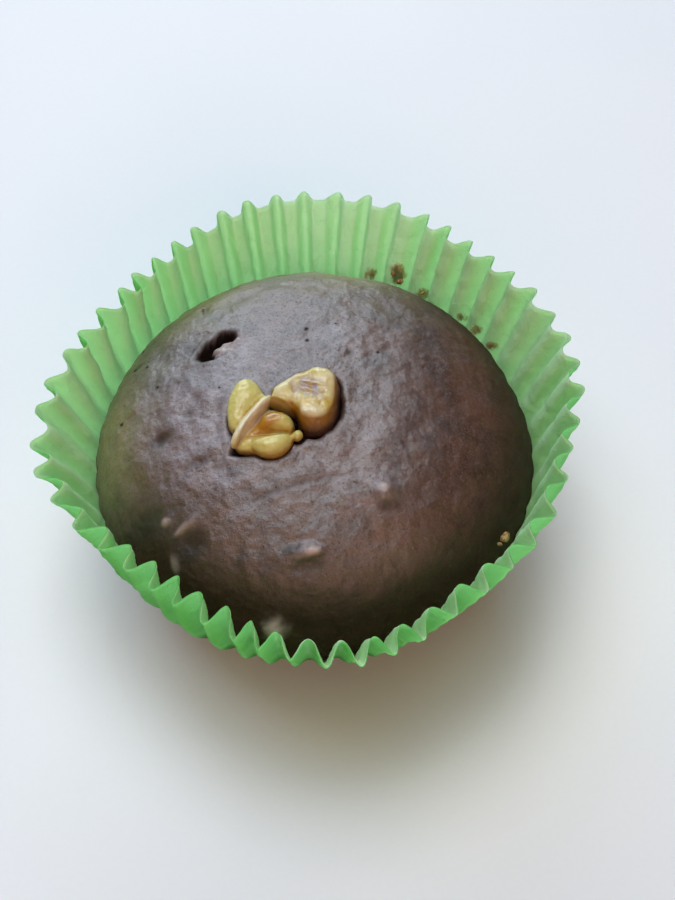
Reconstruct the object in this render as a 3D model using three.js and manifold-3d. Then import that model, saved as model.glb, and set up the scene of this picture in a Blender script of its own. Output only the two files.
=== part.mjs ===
// A chocolate muffin in its pleated paper case, with two walnut pieces baked into the crown.
//
// Millimetres, +Z up. Every shape is made round the muffin's own upright axis, with the table
// at z = 0. The finished group is then moved so that the origin is the middle of the part's
// footprint. Azimuths are degrees anticlockwise from +X, seen from above; the front is -Y.

import * as THREE from 'three';
import { mergeVertices } from 'three/addons/utils/BufferGeometryUtils.js';
import Module from 'manifold-3d';

// ---------------------------------------------------------------- driving dimensions

// Paper case. The sheet is modelled thicker than baking paper, so that it is a sound solid.
const PAPER = 0.4;
const CASE_BASE_RADIUS = 25;
const PLEATS = 51;
const BELLY = { radius: 34.65, height: 16.5, lean: 12, reach: 5.5 }; // where the wall swells most
const FREE_WALL = 13.8; // from the belly to the rim, along the paper
const FREE_WALL_BEND = 4; // how long the free wall keeps the belly's lean
const PLEAT_FULLNESS = { belly: 0.76, rim: 1.3 }; // real fold depth over that of an even zigzag
const FOLD_FLAT = 0.1; // half width of a fold's rounded back, in pleats
const LOWER_ROWS = [0.34, 0.67, 1]; // climb from the base (0) to the belly (1)
const FREE_ROWS = [1.3, 1.65, 2]; // climb from the belly (1) to the rim (2)

// The case and the muffin in it are flattened a little round the front.
const FLATTENED = [
  { azimuth: 305, size: 1.9, width: 40 },
  { azimuth: 232, size: 0.8, width: 30 },
];

// The rim opens in uneven lobes: how far the free wall leans out, in degrees.
const RIM_LEAN = 2;
const RIM_LOBES = [
  { azimuth: 22, size: 17, width: 27 },
  { azimuth: 87, size: 38, width: 31 },
  { azimuth: 188, size: 20, width: 26 },
  { azimuth: 280, size: 19, width: 28 },
  { azimuth: 325, size: 8, width: 18 },
];

// The folds crowd and spread round the rim, and each stands a little off its even place.
const FIRST_FOLD = -7.6;
const CROWDING = [
  { waves: 1, degrees: 3.1, peak: 36 },
  { waves: 2, degrees: 2.0, peak: 76 },
  { waves: 3, degrees: 1.5, peak: 12 },
];
const FOLD_SHIFT = 1.6; // degrees, from one side to the other
const FOLD_UNEVENNESS = 0.3; // share by which fold depths differ

// Muffin. Its side fills the case and its dome stands above the rim.
const MUFFIN = { baseRadius: 23.2, ringRadius: 33.1, ringHeight: 15.5, domeHeight: 20 };
const GAP = 0.35; // air between pieces that touch
const FLUTE = 0.55; // share of the fold depth that is printed into the muffin's side
const CROWN_DIP = { x: -3.5, y: -3, depth: 0.8, spread: 9 }; // the dough sits lower by the nuts

// Relief on the crown: half sizes across, along and through, turned about the upright.
const CRATER = { x: -14.9, y: 9.4, size: [4.1, 2.3, 1.9], turn: 35, lift: 0.1 };
const CRATER_CHIP = { x: -13.7, y: 8.2, size: [2.2, 1.3, 1.4], turn: 30, lift: -0.7 };
const CROWN_BUMPS = [
  { x: 9.5, y: -15.4, size: [1.6, 1.4, 1.2], turn: 20, lift: -0.5 },
  { x: -1.3, y: -23, size: [2.2, 1.1, 1.2], turn: 12, lift: -0.5 },
  { x: -5.6, y: -29.6, size: [2.6, 1.5, 1.4], turn: -8, lift: -0.6 },
  { x: 26, y: -15.4, size: [1, 0.8, 0.8], turn: 50, lift: -0.2 },
];

// Walnut pieces: each is a cluster of rounded lobes, given by middle, half sizes and turn.
const WALNUT_LEFT = [
  { name: 'oval lobe', at: [-10, -3, 35], size: [2.8, 4.4, 2.3], turn: -10 },
  { name: 'ridge', at: [-9.1, -5.3, 34.9], size: [4.4, 0.85, 2.1], turn: 54 },
  { name: 'valley', at: [-7.6, -5.8, 34.5], size: [3.9, 1.5, 1.6], turn: 48 },
  { name: 'middle lobe', at: [-6.2, -5.8, 34.9], size: [3.2, 1.6, 1.8], turn: 24 },
  { name: 'lower lobe', at: [-6.1, -9.1, 34.1], size: [3.4, 1.7, 1.9], turn: 22 },
  { name: 'nub', at: [-3.2, -7.9, 34.5], size: [0.9, 0.9, 0.9], turn: 0 },
  { name: 'root', at: [-7.2, -7.2, 33.4], size: [3.2, 2.4, 1.3], turn: 35 },
];
const WALNUT_RIGHT = [
  { name: 'body', at: [-0.2, -1.6, 35], size: [2.9, 4.3, 3.1], turn: -8 },
  { name: 'arm', at: [-3.6, -1.5, 34.9], size: [3.1, 2.1, 2.1], turn: 20 },
  { name: 'shoulder', at: [-1.4, 0.6, 35], size: [2.6, 1.8, 2.4], turn: 25 },
  { name: 'corner', at: [1.1, 1.2, 35.3], size: [1.9, 1.9, 2.4], turn: 0 },
  { name: 'foot', at: [-0.2, -4.6, 35], size: [2.5, 2.2, 2.6], turn: 0 },
];
const LOBE_SIDES = 12;
const NUT_POCKET_GAP = 0.5; // the baked dough has drawn back from the nuts
const NUT_GAP = 0.45; // air between the two pieces

// ---------------------------------------------------------------- small helpers

const radians = THREE.MathUtils.degToRad;

function polar(radius, azimuth, height) {
  const angle = radians(azimuth);
  return new THREE.Vector3(radius * Math.cos(angle), radius * Math.sin(angle), height);
}

// A repeatable number from 0 to 1 for each whole number.
function scatter(index, salt) {
  const wave = Math.sin(index * 12.9898 + salt * 78.233) * 43758.5453;
  return wave - Math.floor(wave);
}

// The sum at an azimuth of smooth lobes round the axis.
function lobes(list, azimuth) {
  return list.reduce((sum, lobe) => {
    const away = THREE.MathUtils.euclideanModulo(azimuth - lobe.azimuth + 180, 360) - 180;
    return sum + lobe.size * Math.exp(-((away / lobe.width) ** 2));
  }, 0);
}

// A closed surface through a stack of rings, each a list of points that runs anticlockwise
// from about the same azimuth. Neighbouring rings may differ in their number of points.
// The first and last rings are single points.
function skin(rings) {
  const points = rings.flat();
  const triangles = [];
  let start = 0;
  for (let k = 0; k + 1 < rings.length; k += 1) {
    const low = rings[k].length;
    const high = rings[k + 1].length;
    const next = start + low;
    let i = 0;
    let j = 0;
    while (i < low || j < high) {
      const here = start + (i % low);
      const above = next + (j % high);
      const advanceLow = high === 1 || (low > 1 && (i + 0.5) * high <= (j + 0.5) * low);
      if (advanceLow && i < low) {
        triangles.push(here, start + ((i + 1) % low), above);
        i += 1;
      } else if (high > 1 && j < high) {
        triangles.push(here, next + ((j + 1) % high), above);
        j += 1;
      } else {
        break;
      }
    }
    start = next;
  }
  const geometry = new THREE.BufferGeometry().setFromPoints(points);
  geometry.setIndex(triangles);
  return geometry;
}

// ---------------------------------------------------------------- solids that are joined or cut

const wasm = await Module();
wasm.setup();

function toSolid(geometry) {
  const bare = geometry.clone();
  bare.deleteAttribute('normal');
  bare.deleteAttribute('uv');
  const merged = mergeVertices(bare);
  return new wasm.Manifold(new wasm.Mesh({
    numProp: 3,
    vertProperties: new Float32Array(merged.attributes.position.array),
    triVerts: new Uint32Array(merged.index.array),
  }));
}

function toGeometry(solid) {
  const mesh = solid.getMesh();
  const geometry = new THREE.BufferGeometry();
  geometry.setAttribute('position', new THREE.BufferAttribute(mesh.vertProperties, 3));
  geometry.setIndex(new THREE.BufferAttribute(mesh.triVerts, 1));
  return geometry;
}

// An egg-shaped lump: a sphere with its own half size each way, grown by an even margin.
function lump({ at, size, turn }, margin = 0) {
  const geometry = new THREE.SphereGeometry(1, LOBE_SIDES, Math.round(LOBE_SIDES * 0.6));
  geometry.scale(size[0] + margin, size[1] + margin, size[2] + margin);
  geometry.rotateZ(radians(turn));
  geometry.translate(at[0], at[1], at[2]);
  return toSolid(geometry);
}

// ---------------------------------------------------------------- paper case

// Azimuth of a place on the pleats: whole numbers are outer folds and halves are inner folds.
function foldAzimuth(pleat, climb) {
  const round = (360 * pleat) / PLEATS;
  const crowding = CROWDING.reduce(
    (sum, { waves, degrees, peak }) => sum + degrees * Math.cos(radians(waves * round - peak)),
    0,
  );
  const whole = Math.floor(pleat);
  const part = pleat - whole;
  const shiftHere = scatter(whole % PLEATS, 1) - 0.5;
  const shiftNext = scatter((whole + 1) % PLEATS, 1) - 0.5;
  const shift = FOLD_SHIFT * (shiftHere * (1 - part) + shiftNext * part);
  return FIRST_FOLD + round + crowding + 0.5 * climb * shift;
}

// The wall's middle line at one azimuth, in two stretches that meet at the belly.
const bellyLean = radians(BELLY.lean);
const bellyWay = new THREE.Vector2(Math.sin(bellyLean), Math.cos(bellyLean));

function bellyPoint(azimuth) {
  return new THREE.Vector2(BELLY.radius - lobes(FLATTENED, azimuth), BELLY.height);
}

function lowerWall(azimuth) {
  const belly = bellyPoint(azimuth);
  return new THREE.QuadraticBezierCurve(
    new THREE.Vector2(CASE_BASE_RADIUS, PAPER / 2),
    belly.clone().addScaledVector(bellyWay, -BELLY.reach),
    belly,
  );
}

function freeWall(azimuth) {
  const belly = bellyPoint(azimuth);
  const lean = radians(RIM_LEAN + lobes(RIM_LOBES, azimuth));
  const rim = new THREE.Vector2(Math.sin(lean), Math.cos(lean)).multiplyScalar(FREE_WALL);
  return new THREE.QuadraticBezierCurve(
    belly,
    belly.clone().addScaledVector(bellyWay, FREE_WALL_BEND),
    belly.clone().add(rim),
  );
}

// Climb runs from 0 at the base's edge over 1 at the belly to 2 at the rim.
function wallLine(azimuth, climb) {
  const curve = climb <= 1 ? lowerWall(azimuth) : freeWall(azimuth);
  const along = climb <= 1 ? climb : climb - 1;
  return { place: curve.getPoint(along), way: curve.getTangent(along) };
}

// Folding takes up the flat sheet's spare length round the case, so folds deepen upwards.
const LOWER_WALL = lowerWall(0).getLength();

function foldDepth(radius, climb) {
  const free = Math.max(0, climb - 1);
  const flatRadius = CASE_BASE_RADIUS + Math.min(climb, 1) * LOWER_WALL + free * FREE_WALL;
  const spare = Math.sqrt(Math.max(0, flatRadius ** 2 - radius ** 2));
  const fullness = THREE.MathUtils.lerp(PLEAT_FULLNESS.belly, PLEAT_FULLNESS.rim, free);
  return (fullness * Math.PI * spare) / PLEATS;
}

// A point of the pleated sheet. Side is +1 for the outer folds and -1 for the inner ones.
function sheetPoint(pleat, side, climb) {
  const azimuth = foldAzimuth(pleat, climb);
  const { place, way } = wallLine(azimuth, climb);
  const unevenness = FOLD_UNEVENNESS * 0.5 * climb * (scatter(Math.round(pleat * 2), 2) - 0.5);
  const out = 0.5 * side * (1 + unevenness) * foldDepth(place.x, climb);
  return polar(place.x + out * way.y, azimuth, place.y - out * way.x);
}

// Each pleat has four columns: the two edges of its outer fold and of its inner fold.
function pleatColumns() {
  const columns = [];
  for (let pleat = 0; pleat < PLEATS; pleat += 1) {
    columns.push({ pleat: pleat - FOLD_FLAT, side: 1 }, { pleat: pleat + FOLD_FLAT, side: 1 });
    const inner = pleat + 0.5;
    columns.push({ pleat: inner - FOLD_FLAT, side: -1 }, { pleat: inner + FOLD_FLAT, side: -1 });
  }
  return columns.map((column) => ({ ...column, pleat: column.pleat + PLEATS }));
}

function paperCase() {
  const columns = pleatColumns();
  const rows = [...LOWER_ROWS, ...FREE_ROWS];
  const sheet = rows.map(
    (climb) => columns.map(({ pleat, side }) => sheetPoint(pleat, side, climb)),
  );

  // The sheet's normal at a grid point, from its neighbours round and up the wall.
  const normal = (row, column) => {
    const count = columns.length;
    const round = sheet[row][(column + 1) % count].clone()
      .sub(sheet[row][(column + count - 1) % count]);
    const rise = sheet[Math.min(row + 1, rows.length - 1)][column].clone()
      .sub(sheet[Math.max(row - 1, 0)][column]);
    return round.cross(rise).normalize();
  };
  const face = (offset) => sheet.map((points, row) => points.map(
    (point, column) => point.clone().addScaledVector(normal(row, column), offset),
  ));
  const baseRing = (radius, height) => columns.map(
    ({ pleat }) => polar(radius, foldAzimuth(pleat, 0), height),
  );
  const rings = [
    [new THREE.Vector3(0, 0, 0)],
    baseRing(CASE_BASE_RADIUS, 0),
    ...face(PAPER / 2),
    ...face(-PAPER / 2).reverse(),
    baseRing(CASE_BASE_RADIUS - PAPER, PAPER),
    [new THREE.Vector3(0, 0, PAPER)],
  ];
  return skin(rings);
}

// ---------------------------------------------------------------- muffin

function ringRadius(azimuth) {
  return MUFFIN.ringRadius - lobes(FLATTENED, azimuth);
}

// The crown's height over a point, without its relief.
function crownHeight(x, y) {
  const azimuth = THREE.MathUtils.radToDeg(Math.atan2(y, x));
  const across = Math.min(1, Math.hypot(x, y) / ringRadius(azimuth));
  const away = Math.hypot(x - CROWN_DIP.x, y - CROWN_DIP.y) / CROWN_DIP.spread;
  const dip = CROWN_DIP.depth * Math.exp(-(away ** 2));
  return MUFFIN.ringHeight + MUFFIN.domeHeight * Math.sqrt(1 - across ** 2) - dip;
}

function onCrown({ x, y, size, turn, lift }) {
  return lump({ at: [x, y, crownHeight(x, y) + lift], size, turn });
}

// The side stands just inside the paper's inner folds, with the folds printed into it.
function sideRing(climb) {
  const ring = [];
  for (let half = 0; half < 2 * PLEATS; half += 1) {
    const azimuth = foldAzimuth(half / 2, climb);
    const { place, way } = wallLine(azimuth, climb);
    const depth = foldDepth(place.x, climb);
    const printed = half % 2 === 0 ? FLUTE * depth * (1 - climb ** 4) : 0;
    const out = printed - depth / 2 - PAPER - GAP;
    ring.push(polar(place.x + out * way.y, azimuth, place.y - out * way.x));
  }
  return ring;
}

// Rings of the dome hold fewer points as they narrow, always a multiple of a third of the pleats.
function domeRing(rise) {
  const share = Math.cos(radians(rise));
  const third = PLEATS / 3;
  const count = third * Math.max(1, Math.round(6 * share));
  const ring = [];
  for (let i = 0; i < count; i += 1) {
    const azimuth = foldAzimuth((i * PLEATS) / count, 0);
    const point = polar(share * ringRadius(azimuth), azimuth, 0);
    point.z = crownHeight(point.x, point.y);
    ring.push(point);
  }
  return ring;
}

function muffinBody() {
  const floor = PAPER + GAP;
  const base = [];
  for (let half = 0; half < 2 * PLEATS; half += 1) {
    base.push(polar(MUFFIN.baseRadius, foldAzimuth(half / 2, 0), floor));
  }
  const rises = [0, 6, 13, 20, 27, 34, 41, 48, 55, 62, 69, 76, 83];
  return skin([
    [new THREE.Vector3(0, 0, floor)],
    base,
    ...LOWER_ROWS.slice(0, -1).map(sideRing),
    ...rises.map(domeRing),
    [new THREE.Vector3(0, 0, crownHeight(0, 0))],
  ]);
}

// ---------------------------------------------------------------- walnut pieces

function cluster(lobes, margin = 0) {
  return wasm.Manifold.union(lobes.map((lobe) => lump(lobe, margin)));
}

const walnutLeft = cluster(WALNUT_LEFT);
const walnutRight = cluster(WALNUT_RIGHT).subtract(cluster(WALNUT_LEFT, NUT_GAP));

function muffin() {
  let solid = toSolid(muffinBody()).subtract(onCrown(CRATER));
  [CRATER_CHIP, ...CROWN_BUMPS].forEach((bump) => {
    solid = solid.add(onCrown(bump));
  });
  const pockets = [WALNUT_LEFT, WALNUT_RIGHT].map((lobes) => cluster(lobes, NUT_POCKET_GAP));
  return toGeometry(solid.subtract(pockets[0]).subtract(pockets[1]));
}

// ---------------------------------------------------------------- the part

function piece(name, geometry, colour, roughness) {
  geometry.computeVertexNormals();
  const material = new THREE.MeshStandardMaterial({ color: colour, roughness, metalness: 0 });
  const mesh = new THREE.Mesh(geometry, material);
  mesh.name = name;
  return mesh;
}

const group = new THREE.Group();
group.add(
  piece('paper_case', paperCase(), 0x7fc75c, 0.8),
  piece('muffin', muffin(), 0x4a352d, 0.7),
  piece('walnut_piece_left', toGeometry(walnutLeft), 0xd9c27a, 0.45),
  piece('walnut_piece_right', toGeometry(walnutRight), 0xc9a35c, 0.45),
);

const footprint = new THREE.Box3().setFromObject(group);
const middle = footprint.getCenter(new THREE.Vector3());
group.position.set(-middle.x, -middle.y, -footprint.min.z);

export default group;
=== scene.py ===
"""A chocolate muffin with walnut pieces baked into its crown, in a pleated green paper case.

Shapes are worked out in millimetres round the muffin's upright axis, as the part's solids are.
Azimuths are anticlockwise from +X, seen from above. The front is -Y.
"""

import math

import bmesh
import bpy
import numpy as np
from mathutils import Euler, Matrix, Vector, noise


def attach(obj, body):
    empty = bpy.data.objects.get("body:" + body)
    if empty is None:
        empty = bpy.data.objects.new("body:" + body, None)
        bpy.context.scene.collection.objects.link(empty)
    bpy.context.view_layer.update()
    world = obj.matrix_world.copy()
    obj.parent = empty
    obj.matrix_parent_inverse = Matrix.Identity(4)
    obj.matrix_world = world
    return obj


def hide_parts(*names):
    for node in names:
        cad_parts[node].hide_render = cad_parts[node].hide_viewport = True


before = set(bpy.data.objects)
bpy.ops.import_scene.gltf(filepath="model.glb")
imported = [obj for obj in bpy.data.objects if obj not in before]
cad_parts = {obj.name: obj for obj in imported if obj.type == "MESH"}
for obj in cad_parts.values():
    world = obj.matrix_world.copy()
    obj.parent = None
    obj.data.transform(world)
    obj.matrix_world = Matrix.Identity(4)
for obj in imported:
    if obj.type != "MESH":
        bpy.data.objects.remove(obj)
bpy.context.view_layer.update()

MM = 0.001
BODY = "root"

# ---- sizes, in millimetres

PAPER_THICKNESS = 0.11
PLEATS = 51
COLUMNS_IN_PLEAT = 25
# The case's sizes, which are the inputs of its folding tree. The belly is where the muffin's
# widest ring touches the wall. Fullness is the share of the spare paper that the folds take up.
CASE = {
    "Base Radius": 25,
    "Base Height": 0.2,
    "Belly Radius": 34.65,
    "Belly Height": 16.5,
    "Belly Lean": math.radians(12),
    "Belly Reach": 5.5,
    "Free Wall": 13.8,
    "Free Wall Bend": 4,
    "Lower Wall": 19.55,
    "Pleats": PLEATS,
    "Fullness At Belly": 0.76,
    "Fullness At Rim": 1.3,
    "Rim Lean": 2,
    "Outer Fold Flat": 0.09,
    "Inner Fold Flat": 0.18,
    "Tip Droop": 0.25,
    "Crumple Depth": 0.45,
    "Crumple Seed": 3.7,
}
# Smooth lobes round the axis: azimuth, size and width.
FLATTENED = [(305, 1.9, 40), (232, 0.8, 30)]
RIM_LOBES = [(22, 17, 27), (87, 38, 31), (188, 20, 26), (280, 19, 28), (325, 8, 18)]

FIRST_FOLD = -7.6
# Folds crowd and spread in waves round the rim: waves, degrees and the azimuth of the peak.
CROWDING = [(1, 3.1, 36), (2, 2, 76), (3, 1.5, 12)]
FOLD_SHIFT = 1.6
FOLD_UNEVENNESS = 0.3
# Where the folds have flat crests and steep sides. Elsewhere they are round waves.
BOXY_FOLDS = [(105, 0.75, 45), (0, 0.15, 50), (185, 0.3, 45)]
# Where the inner folds lie over to one side.
SKEWED_FOLDS = [(66, 0.25, 26), (180, 0.08, 40)]
# How much narrower the rim's outer folds are than its inner ones.
NARROW_FOLDS = [(85, 1.1, 50), (290, 0.3, 55), (185, -0.35, 45)]
# Where the rim's pleats are shallower.
SHALLOW_FOLDS = [(0, 0.42, 50), (180, 0.3, 45), (90, 0.2, 50)]

RING_RADIUS = 33.1
RING_HEIGHT = 15.5
DOME_HEIGHT = 20
MUFFIN_BASE_RADIUS = 23.2
MUFFIN_BASE_HEIGHT = 0.75
CROWN_DIP = {"at": (-3.5, -3), "depth": 0.8, "spread": 9}

# Walnut lobes: bottom, top, how square the edge is, and the outline seen from above.
WALNUT_LEFT = {
    "oval lobe": ((32.6, 37.2, 2.3), [
        (-9.8, 1.4), (-8.5, 0.7), (-7.6, -0.7), (-7.5, -2.2), (-8.6, -4.2), (-9.8, -6.1),
        (-11.2, -7.4), (-12.1, -6.6), (-12.5, -4.6), (-12.4, -2.6), (-11.9, -0.7), (-11, 0.9),
    ]),
    "ridge": ((32.8, 37.1, 2.4), [
        (-6.5, -1.4), (-6.1, -2), (-7.2, -3.8), (-8.6, -5.8), (-10, -7.6), (-11, -9.5),
        (-11.8, -9.5), (-11.5, -8.2), (-10.2, -6.3), (-9, -4.5), (-7.8, -2.8),
    ]),
    "root": ((32, 35.5, 2.6), [
        (-6.4, -3), (-3.4, -4.8), (-2.9, -7.4), (-4.4, -9.6), (-8.2, -10.2), (-11.1, -9.6),
        (-9.7, -6.9), (-8.2, -4.9),
    ]),
    "web": ((32.6, 36.8, 3), [
        (-9.8, 0.9), (-7.9, -0.9), (-6.7, -2.2), (-8.2, -5), (-10.9, -9), (-11.4, -7.4),
        (-12.1, -5), (-11.8, -1.4),
    ]),
    "middle lobe": ((33, 36.9, 2.2), [
        (-7.9, -5.6), (-7.1, -4.7), (-5.7, -4.3), (-4.1, -4.7), (-3.1, -5.9), (-3.3, -7.2),
        (-4.6, -7.3), (-6.3, -7.3), (-7.9, -7.2),
    ]),
    "lower lobe": ((32.6, 36.3, 2.3), [
        (-9.2, -9.2), (-7.6, -8.3), (-5.5, -7.8), (-3.7, -7.6), (-3.1, -8.5), (-3.8, -9.9),
        (-5.2, -10.9), (-6.9, -11), (-8.4, -10.3),
    ]),
    "nub": ((34, 35.9, 2), [(-2.4, -7), (-1.7, -7.8), (-2.5, -8.7), (-3.4, -7.9)]),
}
WALNUT_RIGHT = {
    "top": ((32.4, 37.8, 3.6), [
        (-6.6, -1.6), (-5.7, -0.5), (-4.6, 0.3), (-3.5, 1.2), (-2.2, 1.9), (-1.1, 2.4),
        (0.1, 2.8), (1.2, 2.7), (2.2, 2.2), (2.9, 1.3), (3.1, 0.2), (3.1, -1.2), (3, -2.6),
        (2.7, -3.9), (2.2, -5.1), (1.4, -6.1), (0.2, -6.5), (-1.2, -6.4), (-2.2, -5.9),
        (-2.7, -4.8), (-3.6, -4.1), (-4.7, -4), (-5.7, -3.8), (-6.5, -2.9),
    ]),
    "foot": ((29.6, 37.3, 2.7), [
        (3.4, 0.9), (3.5, -1.6), (3.2, -4.2), (2.3, -6.2), (0.9, -7.3), (-0.8, -7.5),
        (-2.1, -6.8), (-2.5, -5.4), (-2.6, -3.4), (-4.6, -2.6), (-4.6, -1), (-2, 1.2),
        (1.5, 2.4),
    ]),
}


# ---- the rules of the shape


def case_axis():
    """The upright axis of every shape, from the middle of the case's flat base."""
    points = np.array([v.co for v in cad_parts["paper_case"].data.vertices])
    foot = points[points[:, 2] < 0.05 * MM]
    return (foot.min(axis=0) + foot.max(axis=0)) / 2


AXIS = case_axis()


def scatter(index, salt):
    """A repeatable number from 0 to 1 for each whole number."""
    wave = np.sin(index * 12.9898 + salt * 78.233) * 43758.5453
    return wave - np.floor(wave)


def lobes(shape, azimuth):
    """Smooth lobes round the axis, summed at an azimuth in degrees."""
    total = 0
    for middle, size, width in shape:
        away = (azimuth - middle + 180) % 360 - 180
        total += size * np.exp(-((away / width) ** 2))
    return total


def between(values, place):
    """Values of whole numbers, read between them."""
    whole = np.floor(place)
    part = place - whole
    return values(whole) * (1 - part) + values(whole + 1) * part


def fold_azimuth(pleat, climb):
    """Azimuth in degrees of a place on the pleats. Whole numbers are outer folds."""
    around = 360 * pleat / PLEATS
    crowding = sum(
        degrees * np.cos(np.radians(waves * around - peak)) for waves, degrees, peak in CROWDING
    )
    shift = between(lambda fold: scatter(fold % PLEATS, 1) - 0.5, pleat)
    return FIRST_FOLD + around + crowding + 0.5 * climb * FOLD_SHIFT * shift


def fold_share(pleat):
    """How much deeper than the rule a fold is, at the rim."""
    halves = 2 * PLEATS
    uneven = between(lambda half: scatter(halves + half % halves, 2) - 0.5, 2 * pleat)
    return FOLD_UNEVENNESS * 0.5 * uneven


def pleat_at(azimuth, climb):
    """The place on the pleats at an azimuth: fold_azimuth the other way round."""
    pleats = np.linspace(-PLEATS, 2 * PLEATS, 3000)
    return np.interp(azimuth, fold_azimuth(pleats, climb), pleats)


def crown_height(x, y):
    """The height of the dome, before its swells and marks."""
    azimuth = np.degrees(np.arctan2(y, x))
    across = np.minimum(1, np.hypot(x, y) / (RING_RADIUS - lobes(FLATTENED, azimuth)))
    away = np.hypot(x - CROWN_DIP["at"][0], y - CROWN_DIP["at"][1]) / CROWN_DIP["spread"]
    dip = CROWN_DIP["depth"] * np.exp(-(away**2))
    return RING_HEIGHT + DOME_HEIGHT * np.sqrt(1 - across**2) - dip


# ---- meshes and node trees


def placed(name, data):
    """A new object in the scene, at the origin."""
    made = bpy.data.objects.new(name, data)
    bpy.context.scene.collection.objects.link(made)
    return made


def new_piece(name, mesh, material):
    """A smooth piece at the origin, with its place in its mesh."""
    mesh.materials.clear()
    mesh.materials.append(material)
    mesh.shade_smooth()
    return placed(name, mesh)


def mesh_of(points, faces):
    """A mesh from points in millimetres round the axis."""
    mesh = bpy.data.meshes.new("mesh")
    mesh.from_pydata((np.asarray(points) * MM + AXIS).tolist(), [], faces)
    mesh.validate()
    return mesh


def grid_faces(rows, columns, closed):
    """Quads between the rows of a grid of points, closed round the axis where asked."""
    spans = columns if closed else columns - 1
    faces = []
    for low in range(0, (rows - 1) * columns, columns):
        high = low + columns
        for column in range(spans):
            beside = (column + 1) % columns
            faces.append((low + column, low + beside, high + beside, high + column))
    return faces


def evaluated(source, name):
    """The plain mesh that an object's modifiers make. The object is removed."""
    graph = bpy.context.evaluated_depsgraph_get()
    mesh = bpy.data.meshes.new_from_object(source.evaluated_get(graph))
    mesh.name = name
    bpy.data.objects.remove(source)
    return mesh


def add_attributes(mesh, **attributes):
    """Numbers at a mesh's points, for materials and node trees to read by name."""
    for name, values in attributes.items():
        attribute = mesh.attributes.new(name, "FLOAT", "POINT")
        attribute.data.foreach_set("value", np.asarray(values, np.float32).ravel())


def read_vectors(mesh, name):
    vectors = np.empty(len(mesh.vertices) * 3)
    mesh.vertices.foreach_get(name, vectors)
    return vectors.reshape(-1, 3)


def read_points(mesh):
    """A mesh's points in millimetres round the axis."""
    return (read_vectors(mesh, "co") - AXIS) / MM


def write_points(mesh, points):
    mesh.vertices.foreach_set("co", (points * MM + AXIS).ravel())
    mesh.update()


def maths(operation, swapped=False):
    """A method of a wire that adds one Math node."""

    def method(self, *others):
        terms = (*others, self) if swapped else (self, *others)
        return self.net.node("ShaderNodeMath", {"operation": operation}, dict(enumerate(terms)))

    return method


class Wire:
    """One output of a node. It takes part in sums as a number does."""

    def __init__(self, net, socket):
        self.net = net
        self.socket = socket

    def output(self, name):
        return Wire(self.net, self.socket.node.outputs[name])

    __add__ = __radd__ = maths("ADD")
    __sub__ = maths("SUBTRACT")
    __rsub__ = maths("SUBTRACT", swapped=True)
    __mul__ = __rmul__ = maths("MULTIPLY")
    __truediv__ = maths("DIVIDE")
    __pow__ = maths("POWER")
    at_most = maths("MINIMUM")
    at_least = maths("MAXIMUM")
    over = maths("GREATER_THAN")
    sine = maths("SINE")
    cosine = maths("COSINE")
    root = maths("SQRT")
    exponential = maths("EXPONENT")
    size = maths("ABSOLUTE")
    fraction = maths("FRACT")

    def __neg__(self):
        return self * -1

    def rise(self, start, end):
        """0 before start, 1 after end, and a smooth step between them."""
        return self.net.node(
            "ShaderNodeMapRange",
            {"interpolation_type": "SMOOTHSTEP"},
            {"Value": self, "From Min": start, "From Max": end},
        )


class Net:
    """A node tree that is being wired up, and its material, if it has one."""

    def __init__(self, tree, material=None):
        self.tree = tree
        self.material = material

    def node(self, kind, settings=None, inputs=None, output=0):
        made = self.tree.nodes.new(kind)
        for name, value in (settings or {}).items():
            setattr(made, name, value)
        for key, value in (inputs or {}).items():
            if isinstance(value, Wire):
                self.tree.links.new(value.socket, made.inputs[key])
            else:
                made.inputs[key].default_value = value
        return Wire(self, made.outputs[output])

    def mix(self, share, first, second):
        """A colour between two colours."""
        first, second = (c if isinstance(c, Wire) else (*c, 1) for c in (first, second))
        return self.node("ShaderNodeMix", {"data_type": "RGBA"}, {0: share, 6: first, 7: second}, 2)

    def noise(self, where, scale, detail=2, roughness=0.5, seed=None):
        """A cloudy pattern about one half. A seed picks another pattern of the same kind."""
        inputs = {"Vector": where, "Scale": scale, "Detail": detail, "Roughness": roughness}
        if seed is None:
            return self.node("ShaderNodeTexNoise", {}, inputs)
        return self.node("ShaderNodeTexNoise", {"noise_dimensions": "4D"}, {**inputs, "W": seed})

    def vectors(self, operation, inputs, output=0):
        return self.node("ShaderNodeVectorMath", {"operation": operation}, inputs, output)

    def attribute(self, name):
        """An attribute of the mesh."""
        return self.node("ShaderNodeAttribute", {"attribute_name": name}).output("Fac")

    def warped(self, where, scale, reach):
        """Coordinates pushed about by noise."""
        push = self.node("ShaderNodeTexNoise", {}, {"Vector": where, "Scale": scale}, "Color")
        return self.vectors("MULTIPLY_ADD", {0: push, 1: (reach,) * 3, 2: where})

    def scaled(self, where, scale):
        return self.vectors("MULTIPLY", {0: where, 1: scale})

    def relief(self, *bumps):
        """Bumps over one another: pattern, the millimetres that it rises, and strength."""
        under = {}
        for pattern, rise, strength in bumps:
            inputs = {"Height": pattern, "Distance": rise * MM, "Strength": strength, **under}
            under["Normal"] = self.node("ShaderNodeBump", {}, inputs)
        return under["Normal"]

    def face(self, tone, roughness, others):
        """A surface, with its other sockets by their names."""
        inputs = {"Base Color": tone, "Roughness": roughness, **others}
        return self.node("ShaderNodeBsdfPrincipled", {}, inputs)


def material_net(name):
    """A new material with an empty tree, and its coordinates in millimetres."""
    material = bpy.data.materials.new(name)
    material.use_nodes = True
    material.node_tree.nodes.clear()
    net = Net(material.node_tree, material)
    where = net.node("ShaderNodeTexCoord", {}, {}, "Object")
    return net, net.vectors("SCALE", {0: where, "Scale": 1 / MM})


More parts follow.
